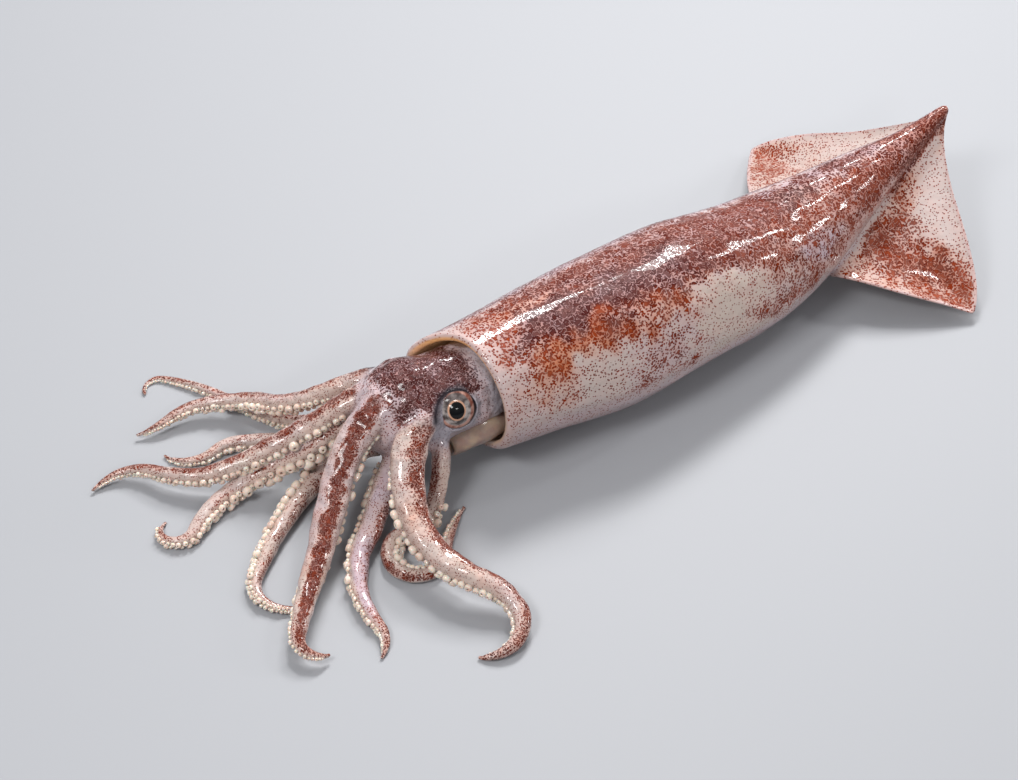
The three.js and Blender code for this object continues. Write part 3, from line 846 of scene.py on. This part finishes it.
def fuse(pieces, name, voxel):
    """One closed mesh round several that overlap."""
    points, faces, start = [], [], 0
    for piece in pieces:
        face_outwards(piece)
        points += [tuple(v.co) for v in piece.data.vertices]
        faces += [tuple(start + i for i in polygon.vertices) for polygon in piece.data.polygons]
        start = len(points)
        bpy.data.objects.remove(piece)
    made = place_mesh(name, points, faces)
    remesh = made.modifiers.new("fuse", "REMESH")
    remesh.mode = "VOXEL"
    remesh.voxel_size = voxel * MM
    apply_modifiers(made)
    return made


head = fuse(flesh_pieces, "head_and_arms", FLESH_VOXEL)
points = points_of(head)
line_along, line_points, line_side, line_radius = (np.concatenate(column) for column in zip(*arm_lines))
line_arm = np.repeat(np.arange(len(ARMS)), [len(line[0]) for line in arm_lines])
line_share = np.concatenate([line[0] / line[0][-1] for line in arm_lines])
AT_ONCE = 4000


def nearest_arm(points):
    """For each point, the place on an arm's middle line whose skin lies nearest."""
    index = np.empty(len(points), int)
    for start in range(0, len(points), AT_ONCE):
        part = points[start:start + AT_ONCE]
        gap = np.linalg.norm(part[:, None] - line_points[None], axis=2) - line_radius
        index[start:start + AT_ONCE] = gap.argmin(axis=1)
    return index


FORK_BEGINS, FORK_ENDS = (2, 8), (28, 50)
FINE_GRAIN = ((0.14, 2.4, 41), (0.22, 6, 42))
THIN_TO_THICK = (1.5, 4)
SUNK_UNDER_BALL = 0.8
HEAD_CLEARANCE = 0.02
at = nearest_arm(points)
head_middle, head_radius = head_at(points[:, 0])
off_head = np.linalg.norm(points - head_middle, axis=1) - head_radius
in_fork = (1 - step(line_along[at], *FORK_ENDS)) * step(line_along[at], *FORK_BEGINS)
smooth_where(head, np.ones(len(points)), rounds=2)
smooth_where(head, in_fork, rounds=16)
points = points_of(head)
fine = sum(height * waves(points, size, seed) for height, size, seed in FINE_GRAIN)
normals = fetched(head.data.vertex_normals, "vector", 3).astype(float)
points += normals * (fine * step(line_radius[at], *THIN_TO_THICK))[:, None]
for node in EYE_LOOKS:
    middle, ball, look = eye_place(node)
    from_ball = points - middle
    reach = np.linalg.norm(from_ball, axis=1)
    off_axis = np.linalg.norm(from_ball - np.outer(from_ball @ look, look), axis=1)
    over_ball = (from_ball @ look > 0) & (off_axis < EYE_OPENING) & (reach > ball - SUNK_UNDER_BALL)
    sunk = (ball - SUNK_UNDER_BALL) / reach[over_ball]
    points[over_ball] = middle + from_ball[over_ball] * sunk[:, None]
points[:, 2] = np.maximum(points[:, 2], HEAD_CLEARANCE)
move_points(head, points)
head.data.shade_smooth()

# Markings of the head and arms: a dark crown and brow, blue-grey round the eyes, a pale neck, and on each arm
# a dark dappled stripe along its back, warm or lilac sides and a pale sucker face.
SUCKER_FACE_SKIN = (0.12, 0.45, 0.12, 0.15)
ARM_TIP_SKIN = (0.66, 0.60, 0.40, 0.40)
PLAIN_HEAD_SKIN = (0.14, 0.5, 0.05, 0.75)
BROW_SKIN = (0.96, 1.00, 0.05, 0.90)
NECK_SKIN = (0.10, 0.5, 0.08, 0.60)
EYE_RING_SKIN = (0.22, 0.9, 0.0, 0.8)
STRIPE_EDGE, SUCKER_FACE_EDGE, TIP_BEGINS = (0.68, 1.0), (0.1, 0.7), (0.72, 0.98)
BROW_AROUND, BROW_ALONG, NECK_BEGINS = (-56, 42, 26), (-27, 3, 9), (0, 6)
radial = points - line_points[at]
turned = np.degrees(np.arctan2(np.einsum("ij,ij->i", radial, line_side[at]), radial[:, 2]))
share, along = line_share[at], line_along[at]


def of_arm(name):
    return np.array([arm[name] for arm in ARMS], float)[line_arm[at]]


sucker_turn = suckers_face({"suckers": of_arm("suckers").T}, share)
facing_suckers = np.cos(np.radians(turned - sucker_turn))
facing_stripe = np.cos(np.radians(turned - of_arm("stripe")))
ragged = 0.07 * waves(points, 4, 51) + 0.05 * waves(points, 1.8, 52)
stripe = step(facing_stripe + ragged, *STRIPE_EDGE) * of_arm("dapple")
sucker_face = step(facing_suckers + ragged, *SUCKER_FACE_EDGE)
skin = np.stack([
    0.12 + 1.10 * stripe,
    0.42 + 0.25 * stripe,
    of_arm("warm") * (0.12 + 0.35 * waves(points, 9, 53) ** 2) * (1 - stripe) + 0.45 * stripe,
    np.maximum(of_arm("lilac") * (0.8 + 0.4 * waves(points, 12, 54)), 0.7 * stripe),
], axis=1)
skin = paint(skin, sucker_face, SUCKER_FACE_SKIN)
skin = paint(skin, step(share, *TIP_BEGINS) * (1 - sucker_face), ARM_TIP_SKIN)
on_head = np.maximum(1 - step(off_head, 0.5, 3.5), 1 - step(along, 3, 12)) * (1 - step(-points[:, 0], 30, 40))
head_turn = np.degrees(np.arctan2(points[:, 1] - head_middle[:, 1], points[:, 2] - head_middle[:, 2]))
head_skin = np.repeat(np.array([PLAIN_HEAD_SKIN]), len(points), axis=0)
brow = within(head_turn + 110 * ragged, *BROW_AROUND) * within(points[:, 0] + 14 * ragged, *BROW_ALONG)
head_skin = paint(head_skin, brow, BROW_SKIN)
neck = step(points[:, 0], *NECK_BEGINS)
head_skin = paint(head_skin, neck, NECK_SKIN)
skin = skin * (1 - on_head)[:, None] + head_skin * on_head[:, None]
LASH_TURN = math.radians(125)
LASH_RADIUS, LASH_WIDTH = 7.3, 1.2
blue = 0.85 * neck * on_head
lash = np.zeros(len(points))
for node in EYE_LOOKS:
    middle, ball, look = eye_place(node)
    from_eye = np.linalg.norm(points - middle - look * 5, axis=1)
    across, upward = cross_frame(look)
    upness = (points - middle) @ upward / np.maximum(from_eye, 1)
    ring = 1 - step(from_eye + 16 * ragged + 3 * upness, 7.0, 11.5)
    blue = np.maximum(blue, 0.7 * ring)
    skin = paint(skin, ring * 0.85, EYE_RING_SKIN)
    from_ball = points - middle
    off_axis = np.linalg.norm(from_ball - np.outer(from_ball @ look, look), axis=1)
    round_lid = np.arctan2(from_ball @ upward, from_ball @ across)
    over_eye = step(np.cos(round_lid - LASH_TURN), 0.1, 0.5) * step(from_ball @ look, 0, 2)
    lash = np.maximum(lash, over_eye * np.exp(-(((off_axis - LASH_RADIUS) / LASH_WIDTH) ** 2)))
store_skin(head, skin)
store(head, lash=lash, on_head=on_head, blue=blue)

HEAD_FINENESS = 1.25
ARM_FINENESS = 1.45
head_material, tree, shader = new_material("head and arm skin")
finish_wet(tree, shader, 0.40, 0.04, 0.5)
place = place_in(tree)
head_made = skin_in(tree, moved(tree, "MULTIPLY", place, (HEAD_FINENESS,) * 3))
arm_made = skin_in(tree, moved(tree, "MULTIPLY", place, (ARM_FINENESS,) * 3))
head_share = read(tree, "on_head")
skin_colour = mixed(tree, head_share, arm_made["Colour"], head_made["Colour"])
skin_film = blended(tree, head_share, arm_made["Film"], head_made["Film"])
skin_height = blended(tree, head_share, arm_made["Height"], head_made["Height"])
BLUE_GREY = linear(168, 166, 176)
LASH_DARK = linear(34, 24, 32)
colour = mixed(tree, read(tree, "blue"), skin_colour, BLUE_GREY)
colour = mixed(tree, read(tree, "lash"), colour, LASH_DARK)
height = maths(tree, "MULTIPLY_ADD", noise(tree, place, 300.0, 1.0), 1.6, skin_height)
feed(tree, shader, {
    "Base Color": colour,
    "Coat Weight": ranged(tree, skin_film, DULLEST_FILM, 1.0, 0.5, 1.0),
    "Normal": relief_in(tree, height, 0.75),
})
head.data.materials.clear()
head.data.materials.append(head_material)
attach(head, "root")
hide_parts("head_and_arms")

# SUCKERS: cream cups on short stalks, in two staggered rows along the inner face of every arm, largest a
# third of the way along and finer towards the tip. They grow out of the arm's flesh.
CUP_PROFILE = np.array([
    (0.50, -0.35), (0.66, 0.0), (0.90, 0.25), (1.00, 0.60), (0.97, 0.94), (0.82, 1.20),
    (0.58, 1.35), (0.36, 1.36), (0.22, 1.24), (0.14, 1.10),
])
CUP_SIDES = 12
FIRST_CUP, LAST_CUP = 0.20, 0.975
ROW_SPREAD = 22.0
CUP_TAPER = 0.45
CUP_SIZES = (0.6, 1.25)
CUP_PITCH = 0.98
CUP_SWAY, CUP_LEAN = 4, 0.16
CUP_SINK = 0.88
CUP_CLEARANCE = 0.03
STALK_DEPTH = 0.4
random = np.random.default_rng(7)
cup_points, cup_depth, cup_tone = [], [], []
spin = ring_turns(CUP_SIDES)
for arm, (s, centres, sideways, radius) in zip(ARMS, arm_lines):
    total = s[-1]
    spread = arm.get("row_spread", ROW_SPREAD)
    reached, row = FIRST_CUP * total, 1
    while reached < LAST_CUP * total:
        t = reached / total
        size = arm["cup"] * (1 - t) ** CUP_TAPER * (0.55 + 0.45 * step(t, 0.15, 0.35))
        size *= random.uniform(*CUP_SIZES)
        facing = suckers_face(arm, t)
        angle = math.radians(facing + row * spread + random.uniform(-CUP_SWAY, CUP_SWAY))
        middle = np.array([np.interp(reached, s, centres[:, k]) for k in range(3)])
        side = np.array([np.interp(reached, s, sideways[:, k]) for k in range(3)])
        out = math.cos(angle) * UP + math.sin(angle) * side
        here = np.interp(reached, s, radius)
        flat = 1 - ARM_FLAT * max(0, math.cos(angle - math.radians(facing))) ** 2
        base = middle + out * here * flat * CUP_SINK
        lean = out + random.normal(size=3) * CUP_LEAN
        lean /= np.linalg.norm(lean)
        across, upward = cross_frame(lean)
        ringed = circle(spin, across, upward)
        cup = base + size * (CUP_PROFILE[:, 0, None, None] * ringed + CUP_PROFILE[:, 1, None, None] * lean)
        pit = base + size * lean
        stalk = base - size * STALK_DEPTH * lean
        points = np.concatenate([cup.reshape(-1, 3), [stalk], [pit]])
        points[:, 2] = np.maximum(points[:, 2], CUP_CLEARANCE)
        cup_points.append(points)
        depth = np.repeat(np.linspace(0, 1, len(CUP_PROFILE)), CUP_SIDES)
        cup_depth.append(np.concatenate([depth, [0, 1.1]]))
        cup_tone.append(np.full(len(points), random.uniform(0, 1)))
        reached += CUP_PITCH * size
        row = -row
faces = tube_faces(len(CUP_PROFILE), CUP_SIDES)
per_cup = len(CUP_PROFILE) * CUP_SIDES + 2
all_faces = [tuple(i + n * per_cup for i in face) for n in range(len(cup_points)) for face in faces]
suckers = place_mesh("suckers", in_frame(np.concatenate(cup_points)), all_faces)
face_outwards(suckers)
store(suckers, depth=np.concatenate(cup_depth), tone=np.concatenate(cup_tone))
suckers.data.shade_smooth()
sucker_material, tree, shader = new_material("sucker flesh")
finish_wet(tree, shader, 0.28, 0.5, 1.6)
cream = mixed(tree, read(tree, "tone"), linear(228, 212, 198), linear(204, 182, 168))
shaded = mixed(tree, ranged(tree, read(tree, "depth"), 0.80, 1.0), cream, linear(130, 92, 74))
grain = noise(tree, place_in(tree), 1800.0, 2.0)
feed(tree, shader, {"Base Color": shaded, "Normal": relief_in(tree, grain, 0.08, 0.5)})
suckers.data.materials.append(sucker_material)
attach(suckers, "root")

# EYES: a wet ball sunk in each side of the head. A black pupil with a thin copper edge lies in a silver iris,
# and a copper-pink ring runs round it under the lid. The top of the iris and the ball's edge at the lid are
# darkened with painted shade.
EYE_RINGS = 60
EYE_SIDES = 72
BALL_SHARE = 0.985
GROOVE_DEPTH, GROOVE_TURN, GROOVE_WIDTH = 0.35, 0.55, 0.12
CORNEA_BULGE, CORNEA_WIDTH = 0.3, 0.4
IRIS_REACH = 6.2
GAZE_LIFT = math.radians(11)
PUPIL_TALLNESS = 1.15
POLE_GAP = 0.03
# Where the pupil ends, its copper edge ends, the copper ring begins and painted shade at the lid's edge
# begins.
PUPIL_ENDS, COPPER_EDGE_ENDS = (0.38, 0.42), (0.45, 0.51)
RING_BEGINS, LID_EDGE_SHADE_BEGINS = (0.74, 0.82), (0.92, 1.0)
eye_material, tree, shader = new_material("eye")
ring_at = read(tree, "from_pupil")
streaks = noise(tree, place_in(tree), 420.0, 3.0)
silver = mixed(tree, ranged(tree, streaks, 0.35, 0.65), linear(74, 66, 64), linear(186, 176, 172))
# The top of the silver iris is darkened with painted shade, as if the lid shaded it.
silver = mixed(tree, read(tree, "under_lid"), silver, linear(70, 58, 58))
copper = mixed(tree, ranged(tree, streaks, 0.4, 0.6), linear(130, 78, 66), linear(190, 146, 132))
colour = mixed(tree, ranged(tree, ring_at, *RING_BEGINS), silver, copper)
colour = mixed(tree, ranged(tree, ring_at, *COPPER_EDGE_ENDS), linear(196, 150, 124), colour)
colour = mixed(tree, ranged(tree, ring_at, *PUPIL_ENDS), linear(3, 4, 6), colour)
# Painted shade darkens the ball's edge where it meets the lid.
colour = mixed(tree, ranged(tree, ring_at, *LID_EDGE_SHADE_BEGINS), colour, linear(40, 36, 42))
feed(tree, shader, {
    "Base Color": colour,
    "Roughness": 0.3,
    "Specular IOR Level": 0.05,
    "Coat Weight": 1.0,
    "Coat Roughness": 0.02,
    "Coat IOR": 1.33,
})
for node in EYE_LOOKS:
    middle, ball, look = eye_place(node)
    across, upward = cross_frame(look)
    polar = np.linspace(POLE_GAP, math.pi - POLE_GAP, EYE_RINGS)
    swollen = ball * BALL_SHARE - GROOVE_DEPTH * np.exp(-(((polar - GROOVE_TURN) / GROOVE_WIDTH) ** 2))
    swollen = (swollen + CORNEA_BULGE * np.exp(-((polar / CORNEA_WIDTH) ** 2)))[:, None, None]
    sine, cosine = np.sin(polar)[:, None, None], np.cos(polar)[:, None, None]
    ringed = circle(ring_turns(EYE_SIDES), across, upward)
    eye = loft(f"{node}_ball", middle + swollen * (sine * ringed + cosine * look))
    face_outwards(eye)
    points = points_of(eye) - middle
    gaze = look * math.cos(GAZE_LIFT) + upward * math.sin(GAZE_LIFT)
    gaze_up = upward * math.cos(GAZE_LIFT) - look * math.sin(GAZE_LIFT)
    from_axis = np.hypot(points @ across, points @ gaze_up / PUPIL_TALLNESS)
    front = points @ gaze > 0
    # The upper part of each iris is kept for the painted shade from the lid.
    shadow = step((points @ upward) / IRIS_REACH, 0.1, 0.9)
    store(eye, from_pupil=np.where(front, from_axis / IRIS_REACH, 1.2), under_lid=0.7 * shadow)
    eye.data.shade_smooth()
    eye.data.materials.append(eye_material)
    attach(eye, "root")
    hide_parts(node)

# FUNNEL: the short soft nozzle under the neck that the squid swims and breathes with, a tube of pale flesh.
# Its bore opens towards the arms, and its root is held in the mantle's mouth. Its colour is darkened as
# painted shade, where it lies under the neck.
FUNNEL_STATIONS = np.array([
    (-10, -5.0, 13.4, 3.8),
    (-5, -7.0, 15.4, 4.8),
    (3, -8.4, 17.6, 5.2),
    (11, -7.5, 17.0, 5.4),
    (20, -4.0, 16.0, 5.0),
])
FUNNEL_BORE = 0.6
FUNNEL_BORE_DEPTH = 7.0
FUNNEL_LIP = (0.66, 0.80, 0.93, 0.98)
BORE_RINGS, FUNNEL_RINGS, FUNNEL_SIDES = 12, 60, 48
PLEATS, PLEAT_DEPTH = 5, 0.045
LUMP_WAVES, LUMP_HEIGHT = 0.42, 0.06
FUNNEL_FRONT, FUNNEL_BACK = FUNNEL_STATIONS[[0, -1], 0]
bore_x = np.linspace(FUNNEL_FRONT + FUNNEL_BORE_DEPTH, FUNNEL_FRONT + 0.4, BORE_RINGS)
funnel_x = np.concatenate([bore_x, np.linspace(FUNNEL_FRONT, FUNNEL_BACK, FUNNEL_RINGS)])
funnel_share = np.where(np.arange(len(funnel_x)) < BORE_RINGS, FUNNEL_BORE, 1)
funnel_share[BORE_RINGS - 2:BORE_RINGS + 2] = FUNNEL_LIP
side, height, radius = smooth_between(FUNNEL_STATIONS, funnel_x).T
angles = ring_turns(FUNNEL_SIDES)
pleats = 1 + PLEAT_DEPTH * np.cos(PLEATS * angles + 1)
lumps = 1 + LUMP_HEIGHT * np.sin(LUMP_WAVES * funnel_x[:, None] + 0.8 + np.sin(angles))
reach = (radius * funnel_share)[:, None] * pleats * lumps
funnel_middles = np.stack([funnel_x, side, height], axis=1)
funnel = loft("funnel_flesh", funnel_middles[:, None] + reach[..., None] * circle(angles, UP, SIDEWAYS))
face_outwards(funnel)
funnel.data.shade_smooth()
shaded_funnel_material, tree, shader = new_material("shaded funnel flesh")
finish_wet(tree, shader, 0.3, 0.5, 2.5)
clouds = noise(tree, place_in(tree), 220.0, 3.0)
# The flesh colours are darkened as painted shade under the neck.
colour = mixed(tree, ranged(tree, clouds, 0.35, 0.65), linear(168, 146, 126), linear(146, 122, 112))
feed(tree, shader, {"Base Color": colour, "Normal": relief_in(tree, clouds, 0.3, 0.5)})
funnel.data.materials.append(shaded_funnel_material)
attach(funnel, "root")
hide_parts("funnel")

# FLOOR, LIGHT AND CAMERA: a plain pale surface, four small softboxes behind the squid that draw the broken
# wet streaks along its back and fin, a larger one at its left and a broad fill from the front.
FLOOR_REACH = 3.0
SKY_STRENGTH = 0.48
SKY_LOW, SKY_HIGH = (0.42, 0.43, 0.46, 1), (0.96, 0.98, 1.0, 1)
floor_points = [(x * FLOOR_REACH, y * FLOOR_REACH, 0) for x, y in ((-1, -1), (1, -1), (1, 1), (-1, 1))]
floor = place_mesh("floor", floor_points, [(0, 1, 2, 3)])
floor_material, tree, shader = new_material("pale floor")
feed(tree, shader, {"Base Color": linear(149, 150, 154), "Roughness": 0.6})
floor.data.materials.append(floor_material)

world = bpy.data.worlds.new("studio")
world.use_nodes = True
sky = world.node_tree
sky_way = add_node(sky, "TexCoord").outputs["Generated"]
up = add_node(sky, "SeparateXYZ", {0: sky_way}).outputs[2]
sky_colour = mixed(sky, ranged(sky, up, -0.1, 0.75), SKY_LOW, SKY_HIGH)
feed(sky, sky.nodes["Background"], {"Color": sky_colour, "Strength": SKY_STRENGTH})
bpy.context.scene.world = world
bpy.context.scene.view_settings.view_transform = "Standard"
CAMERA_AIM = Vector(MOUTH_MIDDLE) + Vector((17.8, -2.2, 20)) * MM


def softbox(name, towards, distance, width, depth, power):
    """A soft rectangular light that looks at the squid from a direction."""
    light = bpy.data.lights.new(name, "AREA")
    light.shape = "RECTANGLE"
    light.size = width
    light.size_y = depth
    light.energy = power
    made = put_object(name, light)
    way = Vector(towards).normalized()
    made.location = CAMERA_AIM + way * distance
    made.rotation_euler = way.to_track_quat("Z", "Y").to_euler()


softbox("mouth softbox", (0.37, 0.47, 0.80), 1.1, 0.22, 0.22, 7.8)
softbox("middle softbox", (0.61, 0.42, 0.66), 1.1, 0.22, 0.22, 6.4)
softbox("fin softbox", (0.78, -0.06, 0.60), 1.1, 0.10, 0.14, 1.6)
softbox("tail softbox", (0.84, -0.41, 0.34), 1.1, 0.10, 0.16, 1.7)
softbox("left softbox", (-0.6, -0.1, 0.8), 1.1, 0.35, 0.25, 6.5)
softbox("front fill", (-0.3, -0.9, 0.7), 1.4, 0.3, 0.12, 2.8)

CAMERA_AZIMUTH = math.radians(-37.6)
CAMERA_ELEVATION = math.radians(44)
CAMERA_DISTANCE = 0.85
CAMERA_LENS = 90.9
camera = put_object("camera", bpy.data.cameras.new("camera"))
camera.data.lens = CAMERA_LENS
camera.data.sensor_width = 36
back = Vector((
    math.sin(CAMERA_AZIMUTH) * math.cos(CAMERA_ELEVATION),
    -math.cos(CAMERA_AZIMUTH) * math.cos(CAMERA_ELEVATION),
    math.sin(CAMERA_ELEVATION),
))
camera.location = CAMERA_AIM + back * CAMERA_DISTANCE
camera.rotation_euler = (-back).to_track_quat("-Z", "Y").to_euler()
camera.data.clip_start = 0.05
bpy.context.scene.camera = camera
